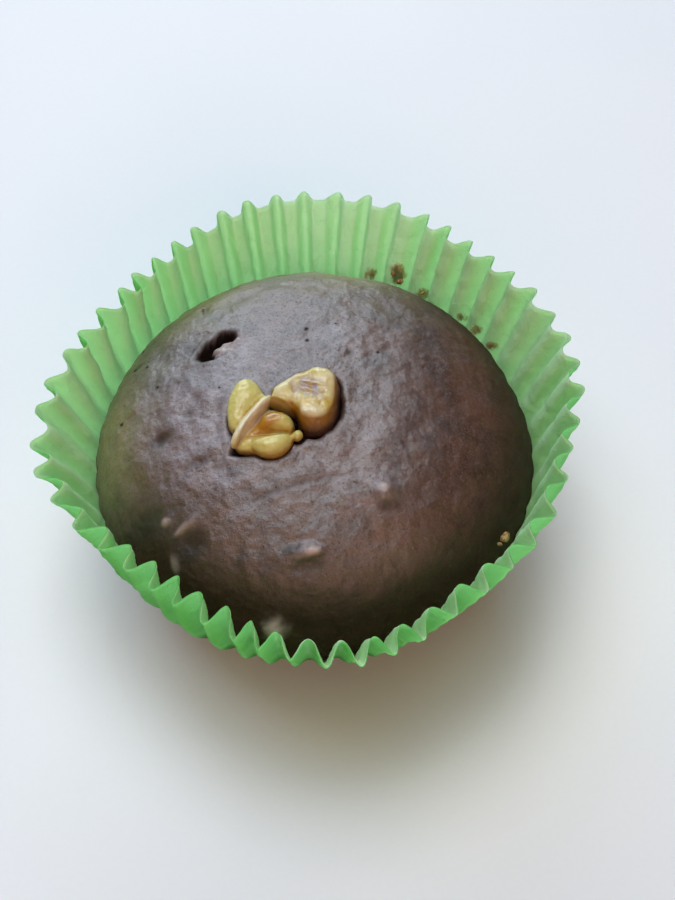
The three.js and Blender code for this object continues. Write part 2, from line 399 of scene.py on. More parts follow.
def finished(shader):
    """The material that a shader is the surface of."""
    output = shader.net.tree.nodes.new("ShaderNodeOutputMaterial")
    shader.net.tree.links.new(shader.socket, output.inputs["Surface"])
    return shader.net.material


def spots(net, where, shape):
    """The sum of soft round masks, given by their middles and half widths."""
    total = 0
    for middle, spread in shape:
        centre = Vector(middle) + Vector(AXIS) / MM
        away = net.vectors("DISTANCE", {0: where, 1: tuple(centre)}, "Value")
        total += (-((away / spread) ** 2)).exponential()
    return total


# ---- materials

# Stains on the inside of the case: middle and half width.
STAINS = [
    ((9.1, 33.6, 19.1), 1.3), ((13.6, 32.4, 19.6), 1.6), ((13.5, 33.2, 21.2), 1.1),
    ((17.5, 30.2, 17.9), 1.5), ((23.8, 25.5, 17.9), 1.2), ((26, 22.8, 18.1), 1.3),
    ((28.3, 19.8, 17.9), 1.1),
]
# The two faces of the paper: their colours, and the colour and share of the light that comes
# through them.
INSIDE = {
    "name": "green_paper_inside",
    "body": (0.92, 1, 0.74),
    "lit_and_creased": (0.95, 1, 0.82),
    "glow": (0.98, 1, 0.9),
    "clear": 0.65,
}
OUTSIDE = {
    "name": "green_paper_outside",
    "body": (0.07, 0.5, 0.07),
    "lit_and_creased": (0.16, 0.62, 0.14),
    "glow": (0.46, 0.95, 0.4),
    "clear": 0.63,
}
DEEPER = (0.86, 0.95, 0.84)
BUFF = (0.92, 0.82, 0.58)
OILY_AND_SHADED_PAPER = (0.06, 0.12, 0.06)
STAIN_EDGE = (0.46, 0.25, 0.03)
STAIN_HEART = (0.13, 0.05, 0.01)


def paper_material(side):
    """Thin green greaseproof paper: light shines through it, and painted light makes its outer
    folds and their creases paler.
    """
    net, where = material_net(side["name"])
    fold = net.attribute("fold")
    climb = net.attribute("climb")
    cloud = net.noise(where, 0.16, 3)
    fibre = net.noise(where, 2.4, 4, 0.6)

    body, lit_and_creased = side["body"], side["lit_and_creased"]
    deeper = tuple(part * share for part, share in zip(body, DEEPER))
    tone = net.mix(cloud.rise(0.35, 0.7), deeper, body)
    # Paler towards the outer folds: painted light, where more light shines through the paper there.
    tone = net.mix(fold.rise(0.55, 0.95) * 0.8, tone, lit_and_creased)

    # Painted highlights run along the outer folds' creases, and fine pale wrinkles wander over the
    # free paper.
    crease_highlight = (-(((fold + 0.9) / 0.12) ** 2)).exponential() * climb.rise(1, 1.2) * 0.9
    wander = net.noise(net.warped(net.scaled(where, (1, 1, 0.7)), 0.6, 1.6), 0.36, 2)
    wrinkled = 1 - (wander - 0.5).size().rise(0, 0.022)
    tone = net.mix(crease_highlight.at_least(wrinkled * climb.rise(0.95, 1.2) * 0.6), tone, lit_and_creased)
    at_back = net.node("ShaderNodeSeparateXYZ", {}, {0: where}).output("Y").rise(12, 28)
    buff = (-fold).rise(0.5, 1) * net.noise(where, 0.5, 3).rise(0.4, 0.7)
    tone = net.mix(buff * at_back * 0.35, tone, BUFF)
    tone = net.mix(fibre.rise(0.35, 0.75) * 0.2, tone, deeper)

    # Below the muffin's widest ring the paper lies on the dark cake, which shows through it, and
    # grease spots it. The darkening there is partly painted shade of the lower wall.
    held = 1 - climb.rise(0.55, 0.98)
    oily = net.noise(where, 0.14, 2).rise(0.42, 0.6)
    tone = net.mix(held * (0.3 + oily * 0.5), tone, OILY_AND_SHADED_PAPER)

    # Fat and crumb have stained the inside where the cake's edge touched it.
    ragged = net.noise(net.scaled(where, (1, 1, 0.5)), 1.1, 3, 0.7)
    stain = spots(net, where, STAINS).at_most(1) * (ragged - 0.2) * 2.4
    tone = net.mix(stain.rise(0.25, 0.5) * 0.85, tone, STAIN_EDGE)
    tone = net.mix(stain.rise(0.55, 0.9) * 0.9, tone, STAIN_HEART)

    ripple = net.noise(where, 0.9, 4, 0.6)
    cells = {"Vector": net.warped(where, 0.5, 1.5), "Scale": 0.42}
    dents = net.node("ShaderNodeTexVoronoi", {"feature": "DISTANCE_TO_EDGE"}, cells)
    dents = dents.rise(0, 0.12)
    relief = net.relief(
        (ripple, 0.16, 0.7), (fibre, 0.06, 0.5), (dents, 0.12, 0.2), (wrinkled, 0.12, 0.5)
    )
    face = net.face(tone, 0.6, {"Specular IOR Level": 0.4, "Normal": relief})
    glow = {"Color": (*side["glow"], 1), "Normal": relief}
    shone_through = net.node("ShaderNodeBsdfTranslucent", {}, glow)
    clear = (1 - stain.rise(0.25, 0.6) * 0.6) * (1 - held * 0.6) * side["clear"]
    return finished(net.node("ShaderNodeMixShader", {}, {0: clear, 1: face, 2: shone_through}))


# Where painted sheen, a lilac-grey film, lies on the crust: middle and half width.
SHEEN_SPOTS = [
    ((2.5, 9.5, 34.6), 3), ((-10.5, 5.5, 34), 6), ((-21.5, -2.5, 30.4), 9),
    ((-11, -9, 33.5), 8), ((4, -11, 34), 7.5),
]
# Where the crust is painted a yellower brown near the paper, as painted reflection of the green
# paper.
PAPER_REFLECTION_SPOTS = [
    ((-30.5, 2, 23), 7), ((-30, -7, 22.5), 6.5),
    ((-18, 24, 25), 8), ((4, 29, 25), 9),
]
# Small pits in the crown, painted dark as their shade: middle, seen from above, and half width.
PITS = [
    ((-17.25, 20.6, 0), 0.24), ((-17.15, 20, 0), 0.26), ((-17.1, 19.3, 0), 0.22),
    ((-17.05, 18.6, 0), 0.2), ((-1.1, 11.6, 0), 0.38), ((-1, 9.2, 0), 0.3),
    ((-27.4, 10.8, 0), 0.34), ((-25.2, 9.6, 0), 0.24), ((-26.6, 15.1, 0), 0.24),
    ((-23.1, 4.4, 0), 0.22), ((-28.6, 0.3, 0), 0.26), ((3.2, 12.6, 0), 0.22),
    ((9.3, 7.2, 0), 0.26), ((-13.6, 1.6, 0), 0.2),
]
# Colours of the crust.
DEEP_BROWN = (0.044, 0.016, 0.007)
BROWN = (0.105, 0.048, 0.027)
WARM_BROWN = (0.112, 0.045, 0.021)
SHEEN_AND_DUST_GREY = (0.34, 0.275, 0.29)
REDDISH_BROWN = (0.13, 0.055, 0.035)
YELLOW_BROWN = (0.27, 0.195, 0.08)
SPECK = (0.022, 0.009, 0.006)
GRAIN = (0.34, 0.27, 0.26)
SHADED_CRUST_EDGE = (0.03, 0.007, 0.002)
PALE_CRUMB_AND_HIGHLIGHT = (0.55, 0.39, 0.33)
CRUST_SHADE = (0.008, 0.003, 0.002)


def crust_material():
    """Baked chocolate crust: finely grained and brown, greasy on top, dull in its hollows, with
    painted sheen on top and painted shade in its hollows and at its front and right edges.
    """
    net, where = material_net("chocolate_crust")
    mottle = net.noise(where, 0.3, 4, 0.6)
    patch = net.noise(where, 0.09, 3)
    sheen_cloud = net.noise(where, 0.36, 3, 0.55)
    dust = net.noise(where, 2.6, 4, 0.7)
    speck = net.noise(where, 2.9, 3, 0.65)
    pore = net.noise(where, 4.2, 2, 0.6)

    tone = net.mix(mottle.rise(0.3, 0.7), DEEP_BROWN, BROWN)
    tone = net.mix(patch.rise(0.42, 0.62) * 0.6, tone, WARM_BROWN)
    # Painted sheen: a lilac-grey film, strongest in the sheen spots, and fine grey dust all over.
    sheen_spots = spots(net, where, SHEEN_SPOTS).at_most(1)
    sheen_and_dust = sheen_cloud.rise(0.22, 0.78) * (0.07 + sheen_spots * 0.5) + dust.rise(0.4, 0.75) * 0.16
    tone = net.mix(sheen_and_dust, tone, SHEEN_AND_DUST_GREY)
    reddish = patch.rise(0.5, 0.64) * mottle.rise(0.4, 0.6)
    tone = net.mix(reddish * 0.45, tone, REDDISH_BROWN)
    # Painted reflection of the green paper: a yellower brown near the crust's left and back edges.
    paper_reflection = spots(net, where, PAPER_REFLECTION_SPOTS).at_most(1)
    tone = net.mix(paper_reflection * (0.3 + mottle * 0.6), tone, YELLOW_BROWN)
    tone = net.mix(speck.rise(0.57, 0.74) * 0.55, tone, SPECK)
    tone = net.mix(pore.rise(0.6, 0.74) * 0.4, tone, GRAIN)

    # The crown's front and right edges are darker: painted shade, where less light falls on them.
    # They are also dull.
    place = net.vectors("SUBTRACT", {0: where, 1: tuple(AXIS / MM)})
    x = net.node("ShaderNodeSeparateXYZ", {}, {0: place})
    y = x.output("Y")
    right = x.rise(6, 22)
    shaded_edge = (x * x + y * y).root().rise(22, 31) * (1 - y.rise(-22, -4)).at_least(right * 0.9)
    tone = net.mix(shaded_edge * 0.88, tone, SHADED_CRUST_EDGE)
    # Pale crumb in the crater's chip and the crags, and painted highlights on the tops of bumps.
    tone = net.mix(net.attribute("pale"), tone, PALE_CRUMB_AND_HIGHLIGHT)
    # Painted shade: dark in the pits, and in the crater, the gap round the walnut pieces, the
    # crease, the dents and under bumps, as marked on the mesh.
    pits = spots(net, net.scaled(net.warped(where, 1.1, 0.5), (1, 1, 0)), PITS)
    dark = net.attribute("dark").at_least((pits * 1.2).at_most(0.9))
    tone = net.mix(dark, tone, CRUST_SHADE)

    swell = net.noise(where, 0.32, 2, 0.5)
    wrinkle = net.noise(where, 1.5, 3, 0.6)
    grain = net.noise(where, 4.5, 3, 0.7)
    relief = net.relief((swell, 1.3, 0.55), (wrinkle, 0.18, 0.55), (grain, 0.11, 0.8))
    greasy = net.face(tone, 0.54 - mottle * 0.24, {"IOR": 2.1, "Normal": relief})
    dull = net.face(tone, 0.8, {"Specular IOR Level": 0.06, "Normal": relief})
    edge = (shaded_edge * 0.85).at_least(right * 0.75)
    dullness = dark.at_least(edge).at_least(speck.rise(0.5, 0.7) * 0.6)
    return finished(net.node("ShaderNodeMixShader", {}, {0: dullness, 1: greasy, 2: dull}))


# Colours of each walnut piece, and those that both share.
PALE_WALNUT = {
    "flesh": (0.64, 0.55, 0.18),
    "cloud": (0.59, 0.48, 0.13),
    "amber": (0.42, 0.19, 0.01),
    "skin": (0.4, 0.2, 0.06),
}
TOASTED_WALNUT = {
    "flesh": (0.58, 0.42, 0.1),
    "cloud": (0.64, 0.53, 0.24),
    "amber": (0.37, 0.15, 0.003),
    "skin": (0.36, 0.27, 0.24),
}
WALNUT_CREAM = (0.78, 0.68, 0.52)
WALNUT_SHADE = (0.045, 0.012, 0.001)


def walnut_material(name, colours):
    """Baked kernel: smooth oily flesh, amber in its creases and on its sides, partly painted shade,
    with some brown papery skin, and painted shade at its foot.
    """
    net, where = material_net(name)
    cloud = net.noise(where, 0.45, 3, 0.5)
    tone = net.mix(cloud.rise(0.3, 0.7), colours["flesh"], colours["cloud"])
    tone = net.mix(net.attribute("amber"), tone, colours["amber"])
    grown = {"Vector": where, "Scale": (1, 0.45, 1), "Rotation": (0, 0, 0.6)}
    streak = net.noise(net.node("ShaderNodeMapping", {}, grown), 1.3, 4, 0.6)
    tone = net.mix(net.attribute("skin") * streak.rise(0.3, 0.6), tone, colours["skin"])
    tone = net.mix(net.attribute("pale"), tone, WALNUT_CREAM)
    dark = net.attribute("dark")
    tone = net.mix(dark, tone, WALNUT_SHADE)
    grain = net.noise(where, 3, 3, 0.5)
    relief = net.relief((streak, 0.15, 0.4), (grain, 0.05, 0.6))
    oily = {
        "Specular IOR Level": 0.55,
        "Subsurface Weight": 0.2,
        "Subsurface Radius": (1, 0.6, 0.25),
        "Subsurface Scale": 0.6 * MM,
        "Normal": relief,
    }
    return finished(net.face(tone, 0.26 + dark * 0.3, oily))


# ---- paper case


def folding_tree(paper):
    """Geometry Nodes that fold a flat sheet, given by its pleats and climb, into the case."""
    tree = bpy.data.node_groups.new("fold_the_case", "GeometryNodeTree")
    tree.interface.new_socket("Geometry", in_out="INPUT", socket_type="NodeSocketGeometry")
    for name, value in CASE.items():
        socket = tree.interface.new_socket(name, in_out="INPUT", socket_type="NodeSocketFloat")
        socket.default_value = value
    tree.interface.new_socket("Geometry", in_out="OUTPUT", socket_type="NodeSocketGeometry")
    net = Net(tree)

    def geometry(kind, **inputs):
        return net.node("GeometryNode" + kind, {}, inputs)

    entry = net.node("NodeGroupInput")
    size = {name: entry.output(name) for name in CASE}

    pleat, climb, degrees, share = (
        net.node("GeometryNodeInputNamedAttribute", {"data_type": "FLOAT"}, {"Name": name})
        for name in ("pleat", "climb", "azimuth", "share")
    )

    def lobes_here(shape):
        total = 0
        for middle, height, width in shape:
            away = ((degrees - (middle - 540)) / 360).fraction() * 360 - 180
            total = (-((away / width) ** 2)).exponential() * height + total
        return total

    # The wall's middle line: two bent stretches that meet at the belly, over a flat base.
    belly = (size["Belly Radius"] - lobes_here(FLATTENED), size["Belly Height"])
    belly_way = (size["Belly Lean"].sine(), size["Belly Lean"].cosine())
    lean = (size["Rim Lean"] + lobes_here(RIM_LOBES)) * (math.pi / 180)

    def along(point, way, length):
        return tuple(p + w * length for p, w in zip(point, way))

    def bent_line(start, pull, end, t):
        """A place on a line that one pull bends, and the way up along it."""
        rest = 1 - t
        place = tuple(
            a * rest * rest + b * (2 * rest * t) + c * t * t
            for a, b, c in zip(start, pull, end)
        )
        way = tuple((b - a) * rest + (c - b) * t for a, b, c in zip(start, pull, end))
        length = (way[0] * way[0] + way[1] * way[1]).root()
        return place, tuple(w / length for w in way)

    lower_share = climb.at_least(0).at_most(1)
    free_share = (climb - 1).at_least(0)
    base_edge = (size["Base Radius"], size["Base Height"])
    lower = bent_line(base_edge, along(belly, belly_way, -size["Belly Reach"]), belly, lower_share)
    rim_way = (lean.sine(), lean.cosine())
    free = bent_line(
        belly,
        along(belly, belly_way, size["Free Wall Bend"]),
        along(belly, rim_way, size["Free Wall"]),
        free_share,
    )
    is_free = climb.over(1)

    def choose(low, high):
        return low + (high - low) * is_free

    radius, height = (choose(a, b) for a, b in zip(lower[0], free[0]))
    way = tuple(choose(a, b) for a, b in zip(lower[1], free[1]))

    # Folding takes up the flat sheet's spare length round the case.
    flat_radius = size["Base Radius"] + lower_share * size["Lower Wall"]
    flat_radius += free_share * size["Free Wall"]
    spare = (flat_radius * flat_radius - radius * radius).at_least(0).root()
    fullness = size["Fullness At Belly"]
    fullness += (size["Fullness At Rim"] - fullness) * free_share
    depth = fullness * spare * math.pi / size["Pleats"]

    skew = lobes_here(SKEWED_FOLDS) * climb.rise(0.8, 1.4)
    step = pleat.fraction()
    from_outer_fold = (step / (skew + 0.5)).at_most((1 - step) / (0.5 - skew)) * 0.5
    flank = from_outer_fold.rise(size["Outer Fold Flat"], 0.5 - size["Inner Fold Flat"])
    boxy = 1 - flank * 2
    half_way = from_outer_fold * 2
    narrowing = lobes_here(NARROW_FOLDS) + 0.1
    narrowed = half_way * (narrowing + 1) / (half_way * narrowing + 1)
    rounded = (narrowed * math.pi).cosine()
    boxiness = (lobes_here(BOXY_FOLDS) + share * 4).at_least(0).at_most(1)
    side = rounded + (boxy - rounded) * boxiness
    uneven_depth = (1 + share * climb.at_least(0)) * depth
    shallowness = lobes_here(SHALLOW_FOLDS) * free_share
    out = uneven_depth * 0.5 - (1 - side) * 0.5 * uneven_depth * (1 - shallowness)
    out_tilt = size["Belly Lean"] * (1 - free_share) + lean * size["Tip Droop"] * free_share
    out_tilt = out_tilt * is_free + (1 - is_free) * way[0]
    radius = (radius + out * out_tilt.cosine()) * (climb + 1).at_least(0).at_most(1)
    height -= out * out_tilt.sine()

    angle = degrees * (math.pi / 180)
    place = {"X": radius * angle.cosine(), "Y": radius * angle.sine(), "Z": height}
    place = net.node("ShaderNodeCombineXYZ", {}, place)
    in_metres = net.vectors("MULTIPLY_ADD", {0: place, 1: (MM, MM, MM), 2: tuple(AXIS)})
    fold = {"Geometry": entry.output("Geometry"), "Name": "fold", "Value": side}
    kind = {"data_type": "FLOAT", "domain": "POINT"}
    marked = net.node("GeometryNodeStoreNamedAttribute", kind, fold)
    folded = geometry("SetPosition", Geometry=marked, Position=in_metres)
    seamless = geometry("MergeByDistance", Geometry=folded, Distance=1e-6)

    # The free paper is crumpled: broad soft dents, and short ripples across the folds.
    position = geometry("InputPosition")
    where = net.scaled(position, (1 / MM, 1 / MM, 1 / MM))
    dents = net.noise(where, 0.24, 3, seed=size["Crumple Seed"])
    across = net.scaled(where, (0.35, 0.35, 1.6))
    ripples = net.noise(across, 0.5, 3, seed=size["Crumple Seed"])
    loose = climb.rise(0.9, 1.25)
    crumple = ((dents - 0.5) * 2.2 + (ripples - 0.5) * 0.9) * loose * size["Crumple Depth"]
    crumple += (ripples - 0.5) * climb.rise(0.3, 1) * size["Crumple Depth"] * 0.5
    normal = geometry("InputNormal")
    offset = net.vectors("SCALE", {0: normal, "Scale": crumple * MM})
    crumpled = geometry("SetPosition", Geometry=seamless, Offset=offset)
    real = geometry("RealizeInstances", Geometry=crumpled)
    papered = geometry("SetMaterial", Geometry=real, Material=paper)
    leave = tree.nodes.new("NodeGroupOutput")
    tree.links.new(papered.socket, leave.inputs["Geometry"])
    return tree


def flat_sheet():
    """The paper before it is folded: a grid of pleats across and climb up, from the middle
    of the base (-1) over the base's edge (0) and the belly (1) to the rim (2)."""
    pleats = np.arange(PLEATS * COLUMNS_IN_PLEAT + 1) / COLUMNS_IN_PLEAT
    climbs = np.concatenate(
        [np.linspace(-1, 0, 4)[:-1], np.linspace(0, 1, 11)[:-1], np.linspace(1, 2, 23)]
    )
    pleat, climb = np.meshgrid(pleats, climbs)
    points = np.stack([pleat, climb, 0 * pleat], axis=-1).reshape(-1, 3)
    mesh = bpy.data.meshes.new("flat_sheet")
    faces = grid_faces(len(climbs), len(pleats), closed=False)
    mesh.from_pydata(points.tolist(), [], faces)
    rim_climb = np.maximum(climb, 0)
    azimuth = fold_azimuth(pleat, rim_climb)
    add_attributes(mesh, pleat=pleat, climb=climb, azimuth=azimuth, share=fold_share(pleat))
    return mesh


def paper_case(inside, outside):
    """The folded sheet, with its two faces in their own materials."""
    sheet = placed("flat_sheet", flat_sheet())
    modifier = sheet.modifiers.new("fold", "NODES")
    modifier.node_group = folding_tree(outside)
    for socket in modifier.node_group.interface.items_tree:
        if socket.in_out == "INPUT" and socket.name in CASE:
            modifier[socket.identifier] = float(CASE[socket.name])
    mesh = evaluated(sheet, "paper_case_sheet")
    case = new_piece("paper_case_sheet", mesh, outside)
    case.data.materials.append(inside)
    thick = case.modifiers.new("thickness", "SOLIDIFY")
    thick.thickness = PAPER_THICKNESS * MM
    thick.offset = 0
    thick.material_offset = 1
    return case


# ---- muffin

# Marks on the crown: middle, half sizes, turn in degrees, height, and how pale and dark. Pale is
# partly the light crumb of crags and partly painted highlights on the tops of bumps; dark is
# painted shade in dents and under bumps.
CRUST_MARKS = [
    ((-17.1, 19.5), (0.6, 1.8), 8, -0.35, 0, 0.2), ((-1.05, 10.4), (0.8, 1.9), 0, -0.2, 0, 0.15),
    ((-27.2, 10.8), (0.8, 0.6), 0, -0.3, 0, 0.3), ((-18.6, -2.3), (0.7, 0.7), 0, -0.25, 0, 0.4),
    ((-17.7, 0.2), (0.8, 0.9), 0, -0.25, 0, 0.35), ((5, 6.4), (0.5, 0.7), 0, -0.3, 0, 0.5),
    ((-22.7, -5.3), (1.4, 1.1), 20, -0.5, 0, 0.6), ((-16.4, -10), (1.4, 0.9), 10, -0.3, 0, 0.4),
    ((-24, -16.5), (2.6, 1.8), 20, -0.4, 0, 0.45), ((-17.4, -20.4), (2.2, 1.8), 20, -0.5, 0, 0.6),
    ((9.6, -15.2), (1.6, 1.4), 20, 1, 0.12, 0), ((9.4, -14.5), (1.1, 0.7), 20, 0.1, 0.5, 0),
    ((9.9, -16.9), (1.5, 0.7), 10, -0.2, 0, 0.5), ((-1.3, -23), (2.6, 0.9), 12, 0.9, 0.2, 0),
    ((-0.4, -22.9), (1.1, 0.6), 12, 0.3, 0.9, 0), ((-3.4, -22.8), (1.1, 0.6), 12, 0.1, 0, 0.5),
    ((-1, -24.6), (2.5, 0.8), 12, -0.2, 0, 0.45), ((-5.6, -30.7), (1.7, 0.9), -8, 0.9, 0.85, 0),
    ((-21.2, -16.9), (0.8, 0.6), 0, 0.4, 0.7, 0), ((-18.6, -18.4), (1.5, 0.5), 25, 0.5, 0.65, 0),
    ((-19.7, -22), (0.5, 1.3), 25, 0.4, 0.45, 0),
]
CREASE = [(-8.5, -16.4), (-5.5, -15.4), (-1, -14.2), (3.6, -13.1)]
CRATER = {"at": (-14.6, 9.6), "size": (3.5, 2.1), "turn": 36, "depth": 2.4}
CHIP = {"at": (-13.5, 9.1), "size": (2.3, 1.5), "turn": 28, "height": 2.2}
# Where the crust stands away from the walnut pieces: middle and half sizes.
POCKET_OPENINGS = [
    ((3.6, -3), (1.6, 4.5)), ((-0.5, -8.2), (3.2, 1.6)),
    ((-11.2, -9.6), (1.6, 1.2)), ((-2.8, -5.2), (0.9, 1.6)),
]
POCKET = {"gap": 0.35, "opened": 0.6, "depth": 1.7, "brim": 0.2}
# Unevenness of the crust: height, how far across, how fine, and seed.
CRUST_SWELLS = [(0.34, 9, 2, 0), (0.13, 2.6, 3, 1), (0.05, 0.8, 3, 2)]
CREASE_DEPTH = 0.16
CREASE_WIDTH = 0.5
EDGE_SWELL = 0.55
EDGE_SCALLOP = 0.16
CRUST_COLUMNS = 540
SIDE_ROWS = 12
CROWN_ROWS = 117


def rough(points, scale, octaves, seed=0):
    """Uneven numbers about zero at each point, with swells about one scale across."""
    shift = Vector((seed * 17.3, seed * 5.9, seed * 11.7))
    return np.array(
        [noise.fractal(Vector(p) / scale + shift, 1, 2, octaves) for p in points]
    )


def within(points, middle, size, turn):
    """Distance from a mark's middle, in its half sizes."""
    x, y = points[:, 0] - middle[0], points[:, 1] - middle[1]
    c, s = math.cos(math.radians(turn)), math.sin(math.radians(turn))
    return np.hypot((x * c + y * s) / size[0], (y * c - x * s) / size[1])


def blot(points, middle, size, turn, sharpness):
    """A mask of a mark: 1 in its middle, and falling off round its half size."""
    return np.exp(-(within(points, middle, size, turn) ** sharpness))


def ease(start, end, value):
    """0 before start, 1 after end, and a smooth step between them."""
    t = np.clip((value - start) / (end - start), 0, 1)
    return t * t * (3 - 2 * t)


def smooth_outline(corners, count):
    """A closed smooth curve through corners."""
    corners = np.array(corners)
    place = np.linspace(0, len(corners), count, endpoint=False)
    start = np.floor(place).astype(int)
    t = (place - start)[:, None]
    before, a, b, after = (corners[(start + k) % len(corners)] for k in (-1, 0, 1, 2))
    pull_a, pull_b = (b - before) / 2, (after - a) / 2
    return (
        (2 * t**3 - 3 * t**2 + 1) * a
        + (t**3 - 2 * t**2 + t) * pull_a
        + (3 * t**2 - 2 * t**3) * b
        + (t**3 - t**2) * pull_b
    )


def outline_distance(points, kernel):
    """How far each point is outside a kernel's outlines, and the level way straight out."""
    nearest = np.full(len(points), np.inf)
    out = np.zeros((len(points), 3))
    for _, corners in kernel.values():
        curve = smooth_outline(corners, 90)
        middle = curve.mean(axis=0)
        spokes = curve - middle
        angles = np.arctan2(spokes[:, 1], spokes[:, 0])
        order = np.argsort(angles)
        reach = np.linalg.norm(spokes, axis=1)
        local = points[:, :2] - middle
        here = np.linalg.norm(local, axis=1)
        edge = np.interp(
            np.arctan2(local[:, 1], local[:, 0]), angles[order], reach[order], period=2 * np.pi
        )
        away = 0.85 * (here - edge)
        closer = away < nearest
        nearest[closer] = away[closer]
        out[closer, :2] = (local / np.maximum(here, 1e-9)[:, None])[closer]
    return nearest, out


def wall_line(azimuth, climb):
    """The lower wall's middle line at a climb of 0 to 1, and the way up along it."""
    ones = np.ones_like(azimuth)
    belly_radius = CASE["Belly Radius"] - lobes(FLATTENED, azimuth)
    belly = np.stack([belly_radius, CASE["Belly Height"] * ones])
    lean = np.array([math.sin(CASE["Belly Lean"]), math.cos(CASE["Belly Lean"])])[:, None]
    foot = np.array([CASE["Base Radius"], CASE["Base Height"]])[:, None] * ones
    pull = belly - CASE["Belly Reach"] * lean
    place = foot * (1 - climb) ** 2 + 2 * pull * climb * (1 - climb) + belly * climb**2
    way = (pull - foot) * (1 - climb) + (belly - pull) * climb
    return place, way / np.linalg.norm(way, axis=0)


def fold_depth(radius, climb):
    """How deep the lower wall's folds are, from how much wider the flat sheet is."""
    flat_radius = CASE["Base Radius"] + climb * CASE["Lower Wall"]
    spare = np.sqrt(np.maximum(0, flat_radius**2 - radius**2))
    return CASE["Fullness At Belly"] * math.pi * spare / PLEATS


def muffin_rings(columns):
    """Rings of points from the bottom up: the base, the side in the folds, and the crown."""
    azimuth = np.linspace(0, 360, columns, endpoint=False)
    way_out = np.stack([np.cos(np.radians(azimuth)), np.sin(np.radians(azimuth))])
    rings = []

    def add(radius, height):
        rings.append(np.stack([*(way_out * radius), np.broadcast_to(height, azimuth.shape)], 1))

    for share in (0.3, 0.6, 0.85, 0.97):
        add(share * MUFFIN_BASE_RADIUS, MUFFIN_BASE_HEIGHT)
    add(MUFFIN_BASE_RADIUS, MUFFIN_BASE_HEIGHT + 0.25)
    for climb in np.linspace(0.08, 0.9, SIDE_ROWS):
        (radius, height), way = wall_line(azimuth, climb)
        depth = fold_depth(radius, climb)
        printed = np.cos(2 * np.pi * pleat_at(azimuth, climb))
        out = depth * (0.42 * printed * (1 - climb**2) - 0.06) - 0.45
        add(radius + out * way[1], height - out * way[0])
    ring = RING_RADIUS - lobes(FLATTENED, azimuth)
    scallop = EDGE_SCALLOP * np.cos(2 * np.pi * pleat_at(azimuth, 1))
    for rise in np.radians(90 * np.linspace(0, 1, CROWN_ROWS + 1)[:-1] ** 1.15):
        swell = math.exp(-((math.degrees(rise) / 11) ** 2))
        radius = ring * math.cos(rise)
        points = way_out * radius
        height = crown_height(*points)
        points = way_out * (radius + swell * (EDGE_SWELL + scallop))
        rings.append(np.stack([*points, height], 1))
    return rings


